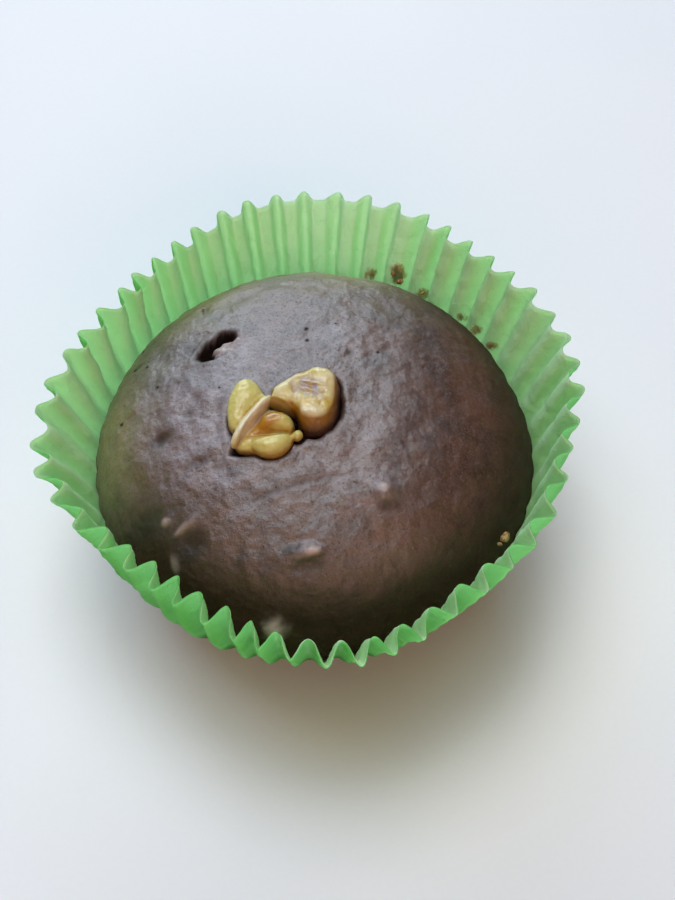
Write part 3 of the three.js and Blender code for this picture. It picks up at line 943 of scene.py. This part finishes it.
def muffin_mesh():
    """The whole cake: its rings closed below and above, with the crown's relief and marks."""
    rings = muffin_rings(CRUST_COLUMNS)
    bottom, top = (0, 0, MUFFIN_BASE_HEIGHT), (0, 0, float(crown_height(0, 0)))
    points = np.concatenate([[bottom], *rings, [top]])
    faces = [
        tuple(corner + 1 for corner in face)
        for face in grid_faces(len(rings), CRUST_COLUMNS, closed=True)
    ]
    last = 1 + (len(rings) - 1) * CRUST_COLUMNS
    for column in range(CRUST_COLUMNS):
        beside = (column + 1) % CRUST_COLUMNS
        faces.append((0, 1 + beside, 1 + column))
        faces.append((last + column, last + beside, len(points) - 1))
    mesh = mesh_of(points, faces)

    normals = read_vectors(mesh, "normal")
    crown = ease(RING_HEIGHT - 1, RING_HEIGHT + 5, points[:, 2])
    lift = sum(height * rough(points, *kind) for height, *kind in CRUST_SWELLS)
    pale = np.zeros(len(points))
    dark = np.zeros(len(points))
    for middle, size, turn, height, paleness, darkness in CRUST_MARKS:
        reach = within(points, middle, size, turn) * (1 + 0.3 * rough(points, 1.4, 2, 5))
        lift += height * np.exp(-(reach**2))
        pale = np.maximum(pale, paleness * np.exp(-((1.15 * reach) ** 3)))
        dark = np.maximum(dark, darkness * np.exp(-((0.85 * reach) ** 4)))

    # A long shallow crease runs across the front of the crown, with painted shade along it.
    for (x0, y0), (x1, y1) in zip(CREASE, CREASE[1:]):
        along = np.array([x1 - x0, y1 - y0])
        offset = points[:, :2] - (x0, y0)
        t = np.clip(offset @ along / (along @ along), 0, 1)
        away = np.linalg.norm(offset - t[:, None] * along, axis=1)
        lift -= CREASE_DEPTH * np.exp(-((away / CREASE_WIDTH) ** 2))
        dark = np.maximum(dark, 0.3 * np.exp(-((away / (0.9 * CREASE_WIDTH)) ** 2)))

    # A torn crater with a pale chip inside it. Painted shade darkens the crater's inside, all but
    # the chip's top.
    reach = within(points, CRATER["at"], CRATER["size"], CRATER["turn"])
    reach = reach * (1 + 0.3 * rough(points, 3.2, 3, 7))
    inside = 1 - ease(0.45, 1.1, reach)
    floor_relief = 0.35 * rough(points, 0.9, 3, 8)
    lift -= inside * (CRATER["depth"] + floor_relief)
    lift += 0.15 * np.exp(-(((reach - 1.25) / 0.2) ** 2))
    chip = within(points, CHIP["at"], CHIP["size"], CHIP["turn"])
    chip = np.exp(-((chip * (1 + 0.3 * rough(points, 1.1, 2, 13))) ** 4))
    lift += chip * (CHIP["height"] * inside + floor_relief)
    chip_top = ease(0.35, 0.8, chip)
    dark = np.maximum(dark, (1 - ease(0.88, 1.25, reach)) * (1 - 0.95 * chip_top))
    grains = np.clip(0.62 + 0.7 * rough(points, 0.7, 2, 12), 0, 1)
    pale = np.maximum(pale, 0.7 * grains * chip_top)

    # The crown sinks into a gap round the walnut pieces, painted dark as shade, and lies low under
    # them.
    for kernel in (WALNUT_LEFT, WALNUT_RIGHT):
        near = np.hypot(points[:, 0] + 4, points[:, 1] + 4) < 15
        away = np.full(len(points), 9.0)
        away[near] = outline_distance(points[near], kernel)[0]
        away += 0.2 * rough(points, 1.5, 2, 9)
        gap = sum(blot(points, *opening, 0, 2) for opening in POCKET_OPENINGS)
        away = away + POCKET["gap"] - POCKET["opened"] * np.minimum(gap, 1)
        brim = np.exp(-(((away - 1) / 0.7) ** 2))
        lift = lift - POCKET["depth"] * (1 - ease(-0.5, 0.35, away)) + POCKET["brim"] * brim
        dark = np.maximum(dark, 0.95 * (1 - ease(-0.2, 0.5, away)))
    points += normals * (lift * crown)[:, None]
    write_points(mesh, points)
    add_attributes(mesh, pale=pale * crown, dark=dark * crown)
    return mesh


# ---- walnut pieces

KERNEL_GAP = 0.3
KERNEL_VOXEL = 0.11
LOBE_COLUMNS = 72
LOBE_ROWS = 17


def joined_lobes(kernel):
    """The lobes as overlapping pebbles in one mesh, each lofted inside its outline."""
    points, faces = [], []
    columns, rows = LOBE_COLUMNS, LOBE_ROWS
    first = 0
    for (bottom, top, square), corners in kernel.values():
        curve = smooth_outline(corners, columns)
        middle = curve.mean(axis=0)
        for tilt in np.linspace(-np.pi / 2, np.pi / 2, rows + 2)[1:-1]:
            share = abs(math.cos(tilt)) ** (2 / square)
            rise = math.copysign(abs(math.sin(tilt)) ** (2 / square), tilt)
            height = (bottom + top) / 2 + rise * (top - bottom) / 2
            points += [(*(middle + (c - middle) * share), height) for c in curve]
        sides = grid_faces(rows, columns, closed=True)
        under = tuple(reversed(range(columns)))
        over = tuple((rows - 1) * columns + column for column in range(columns))
        faces += [tuple(first + corner for corner in face) for face in (*sides, under, over)]
        first = len(points)
    mesh = mesh_of(points, faces)
    outward = bmesh.new()
    outward.from_mesh(mesh)
    bmesh.ops.recalc_face_normals(outward, faces=outward.faces)
    outward.to_mesh(mesh)
    outward.free()
    return mesh


def smoothed(values, edges, passes):
    """Values averaged with their neighbours' along the edges."""
    count = np.bincount(edges.ravel(), minlength=len(values))
    count = np.maximum(count, 1)
    for _ in range(passes):
        total = np.zeros_like(values)
        np.add.at(total, edges[:, 0], values[edges[:, 1]])
        np.add.at(total, edges[:, 1], values[edges[:, 0]])
        share = total / (count if values.ndim == 1 else count[:, None])
        values = 0.5 * values + 0.5 * share
    return values


def kernel_mesh(kernel, neighbour, seed, wrinkle, marks):
    """One piece of kernel: lobes grown together, marked and wrinkled, clear of its neighbour."""
    source = placed("lobes", joined_lobes(kernel))
    grown = source.modifiers.new("grow_together", "REMESH")
    grown.mode = "VOXEL"
    grown.voxel_size = KERNEL_VOXEL * MM
    even = source.modifiers.new("even", "SMOOTH")
    even.factor = 0.5
    even.iterations = 26
    mesh = evaluated(source, "kernel")

    points = read_points(mesh)
    normals = read_vectors(mesh, "normal")
    edges = np.empty(len(mesh.edges) * 2, np.int64)
    mesh.edges.foreach_get("vertices", edges)
    edges = edges.reshape(-1, 2)
    upper = ease(0, 0.6, normals[:, 2])
    for middle, size, turn, height in marks:
        points[:, 2] += height * blot(points, middle, size, turn, 2) * upper
    folds = np.abs(rough(points, 2.4, 2, seed))
    points += normals * (
        wrinkle * (0.28 - folds) * 0.9 + 0.05 * rough(points, 0.7, 2, seed + 1)
    )[:, None]
    if neighbour:
        away, out = outline_distance(points, neighbour)
        points += out * np.maximum(0, KERNEL_GAP - away)[:, None]
    write_points(mesh, points)

    hollow = ((smoothed(points, edges, 40) - points) * normals).sum(axis=1)
    return mesh, points, normals, np.clip(smoothed(hollow, edges, 4) / 0.06, 0, 1)


# Relief of the kernels' upper side: middle, half sizes, turn and height.
LEFT_MARKS = [
    ((-9.6, -5.2), (3.6, 0.22), 54, -0.12), ((-7.9, -4.9), (2.6, 0.5), 50, -0.25),
    ((-6.2, -7.7), (3, 0.35), 8, -0.35), ((-4.4, -5.8), (0.6, 0.6), 0, 0.15),
]
RIGHT_MARKS = [
    ((-0.9, -1.2), (2.1, 1.5), -22, -0.55), ((-0.7, -0.5), (1.6, 0.22), -14, 0.28),
    ((-0.6, -1.9), (1.5, 0.25), -30, 0.3), ((-0.9, -5.3), (1.8, 0.7), -4, 0.22),
    ((2, 1.1), (0.9, 1.2), 20, 0.2), ((-3.2, -1.4), (0.5, 1.9), 14, -0.28),
]


def kernel_left(material):
    """The left piece: a pale ridge over an amber valley, and painted shade where it meets the
    crust.
    """
    mesh, points, normals, crevice = kernel_mesh(WALNUT_LEFT, None, 3, 0.08, LEFT_MARKS)
    ridge = blot(points, (-8.9, -5.7), (5.4, 0.75), 53.5, 4)
    valley = blot(points, (-7.2, -6.2), (3.4, 1.6), 35, 4)
    side = 1 - ease(0.1, 0.75, normals[:, 2])
    deep = 1 - ease(34.6, 36.4, points[:, 2])
    # Amber is the valley's own colour, with painted shade in the creases and on the low sides; dark
    # is painted shade low down, where the piece meets the crust.
    amber = 0.6 * crevice + (1.1 * valley + 0.8 * side * deep) * (1 - ridge)
    dark = 0.9 * (1 - ease(33.4, 34.9, points[:, 2]))
    no_skin = np.zeros(len(points))
    add_attributes(mesh, amber=np.clip(amber, 0, 1), pale=0.8 * ridge, dark=dark, skin=no_skin)
    return new_piece("walnut_kernel_left", mesh, material)


def kernel_right(material):
    """The right piece: skin on its top, pale bumps, and amber sides that darken to the foot, which
    are painted shade.
    """
    mesh, points, normals, crevice = kernel_mesh(WALNUT_RIGHT, WALNUT_LEFT, 11, 0.2, RIGHT_MARKS)
    skin = blot(points, (-1, -1.3), (2.6, 1.9), -20, 4) * ease(0.3, 0.8, normals[:, 2])
    bump = blot(points, (-0.9, -5.3), (1.9, 0.8), -4, 2)
    corner = blot(points, (2.2, 0.6), (1, 2.6), 8, 2)
    arm = blot(points, (-3.9, -2.6), (1.6, 0.7), 6, 2)
    upper = ease(0.45, 0.85, normals[:, 2])
    pale = 0.55 * upper * np.clip(bump + 0.6 * corner + 0.3 * arm, 0, 1)
    over_edge, _ = outline_distance(points, {"top": WALNUT_RIGHT["top"]})
    side = np.maximum(1 - ease(0.5, 0.92, normals[:, 2]), ease(-0.6, 0, over_edge))
    low = 1 - ease(34.7, 36.9, points[:, 2])
    body = ease(-4.6, -2.4, points[:, 0])
    # Amber on the sides and in the creases, and dark low on the front sides: both painted shade.
    amber = np.clip(0.8 * crevice + side * (0.3 + 0.7 * body), 0, 1)
    dark = np.clip(side * (0.2 + 0.85 * low) * (0.2 + 0.8 * body), 0, 1)
    add_attributes(mesh, skin=skin, pale=pale, amber=amber, dark=dark)
    return new_piece("walnut_kernel_right", mesh, material)


# ---- crumbs

# Crumbs: middle, half sizes and turn in degrees.
CRUMBS = [
    ((27.4, -16.4, 20.9), (0.9, 0.6, 0.5), 50), ((26.6, -17.3, 20.6), (0.4, 0.3, 0.3), 10),
    ((13.9, 31.9, 19.3), (0.55, 0.4, 0.4), 20), ((12.7, 32.6, 20.6), (0.4, 0.3, 0.45), 70),
    ((17.6, 29.9, 18.8), (0.4, 0.3, 0.3), 40),
]
CRUMB_ROUGHNESS = 0.16


def crumb_pieces(material):
    """All the loose crumbs, as rough pebbles in one mesh."""
    whole = bmesh.new()
    for middle, size, turn in CRUMBS:
        place = Matrix.Translation(Vector(middle) * MM + Vector(AXIS))
        spin = Matrix.Rotation(math.radians(turn), 4, "Z")
        scale = Matrix.Diagonal((*(Vector(size) * MM), 1))
        bmesh.ops.create_icosphere(whole, subdivisions=4, radius=1, matrix=place @ spin @ scale)
    mesh = bpy.data.meshes.new("crumbs")
    whole.to_mesh(mesh)
    whole.free()
    points = read_points(mesh)
    lift = CRUMB_ROUGHNESS * rough(points, 0.5, 3, 21)
    write_points(mesh, points + read_vectors(mesh, "normal") * lift[:, None])
    return new_piece("loose_crumbs", mesh, material)


def crumb_material():
    net, where = material_net("baked_crumb")
    cloud = net.noise(where, 1.8, 4, 0.6)
    tone = net.mix(cloud.rise(0.35, 0.65), (0.22, 0.09, 0.025), (0.55, 0.33, 0.12))
    relief = net.relief((net.noise(where, 3.5, 3), 0.1, 0.8))
    return finished(net.face(tone, 0.55, {"Normal": relief}))


# ---- floor, light and camera

TABLE_REACH = 2.5
MIDDLE_HEIGHT = 20


def table_top():
    """The pale floor, which is the stage and no piece of the muffin."""
    net, where = material_net("pale_table_top")
    cloud = net.noise(where, 0.012, 3)
    fine = net.noise(where, 1.2, 3)
    tone = net.mix(cloud.rise(0.3, 0.7), (0.82, 0.83, 0.85), (0.85, 0.855, 0.87))
    tone = net.mix(fine.rise(0.3, 0.8) * 0.08, tone, (0.7, 0.71, 0.73))
    material = finished(net.face(tone, 0.6, {}))
    mesh = bpy.data.meshes.new("table_top")
    low, high = -TABLE_REACH, TABLE_REACH
    corners = [(low, low, 0), (high, low, 0), (high, high, 0), (low, high, 0)]
    mesh.from_pydata(corners, [], [(0, 1, 2, 3)])
    floor = new_piece("table_top", mesh, material)


def soft_light(name, azimuth, elevation, distance, size, power, colour):
    """A flat soft light that faces the muffin."""
    lamp = bpy.data.lights.new(name, "AREA")
    lamp.shape = "RECTANGLE"
    lamp.size, lamp.size_y = size
    lamp.energy = power
    lamp.color = colour
    a, e = math.radians(azimuth), math.radians(elevation)
    way = Vector((math.cos(a) * math.cos(e), math.sin(a) * math.cos(e), math.sin(e)))
    holder = placed(name, lamp)
    holder.location = Vector(AXIS) + Vector((0, 0, MIDDLE_HEIGHT * MM)) + way * distance
    holder.rotation_euler = way.to_track_quat("Z", "Y").to_euler()


# Soft lights: azimuth, elevation, distance and sides in metres, power and colour.
LIGHTS = {
    "window": ((100, 66, 1.6), (0.7, 0.7), 8.5, (1, 0.97, 0.97)),
    "side_window": ((137, 48, 1.4), (0.8, 0.85), 3.6, (0.25, 0.46, 1)),
    "high_window_right": ((60, 72, 1.6), (0.8, 0.8), 2.7, (0.27, 0.65, 1)),
    "high_window_left": ((150, 70, 1.6), (0.8, 0.8), 3.6, (0.74, 0.95, 0.86)),
    "far_wall": ((102, 18, 1.5), (1.1, 0.45), 12.5, (0.74, 0.89, 1)),
    "ceiling": ((200, 82, 1.6), (1.1, 1.1), 5.6, (1, 0.95, 0.79)),
    "room": ((280, 30, 1.8), (2, 1), 13, (1, 0.58, 0.46)),
}
SKY_COLOUR = (1, 0.9, 0.8, 1)
SKY_STRENGTH = 0.02


def lighting():
    for name, (place, sides, power, colour) in LIGHTS.items():
        soft_light(name, *place, sides, power, colour)
    world = bpy.data.worlds.new("daylight")
    world.use_nodes = True
    sky = world.node_tree.nodes["Background"]
    sky.inputs["Color"].default_value = SKY_COLOUR
    sky.inputs["Strength"].default_value = SKY_STRENGTH
    bpy.context.scene.world = world
    bpy.context.scene.view_settings.view_transform = "Standard"


# The view: lens and film, the eye's place, the degrees that it looks down, and the shift of its
# frame in parts of the frame's height.
EYE = {"lens": 56, "sheen_and_dust": 36, "at": (0, -111.68, 200.78), "down": 56.5, "shift": (21.9, -49.7)}
FRAME_HEIGHT = 900


def camera():
    """The view from the front, for an upright frame of 675 by 900."""
    eye = bpy.data.cameras.new("eye")
    eye.lens = EYE["lens"]
    eye.sensor_width = EYE["sheen_and_dust"]
    eye.shift_x, eye.shift_y = (part / FRAME_HEIGHT for part in EYE["shift"])
    holder = placed("eye", eye)
    holder.location = Vector(AXIS) + Vector(EYE["at"]) * MM
    holder.rotation_euler = Euler((math.radians(90 - EYE["down"]), 0, 0))
    bpy.context.scene.camera = holder


# ---- the whole muffin


def main():
    """Every piece on the part's one body, then the floor, the lights and the view."""
    case = paper_case(paper_material(INSIDE), paper_material(OUTSIDE))
    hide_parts("paper_case")

    crust = crust_material()
    body = new_piece("muffin_crust", muffin_mesh(), crust)
    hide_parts("muffin")

    left = kernel_left(walnut_material("pale_walnut", PALE_WALNUT))
    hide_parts("walnut_piece_left")

    right = kernel_right(walnut_material("toasted_walnut", TOASTED_WALNUT))
    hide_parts("walnut_piece_right")

    crumbs = crumb_pieces(crumb_material())
    for piece in (case, body, left, right, crumbs):
        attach(piece, BODY)
    table_top()
    lighting()
    camera()


main()
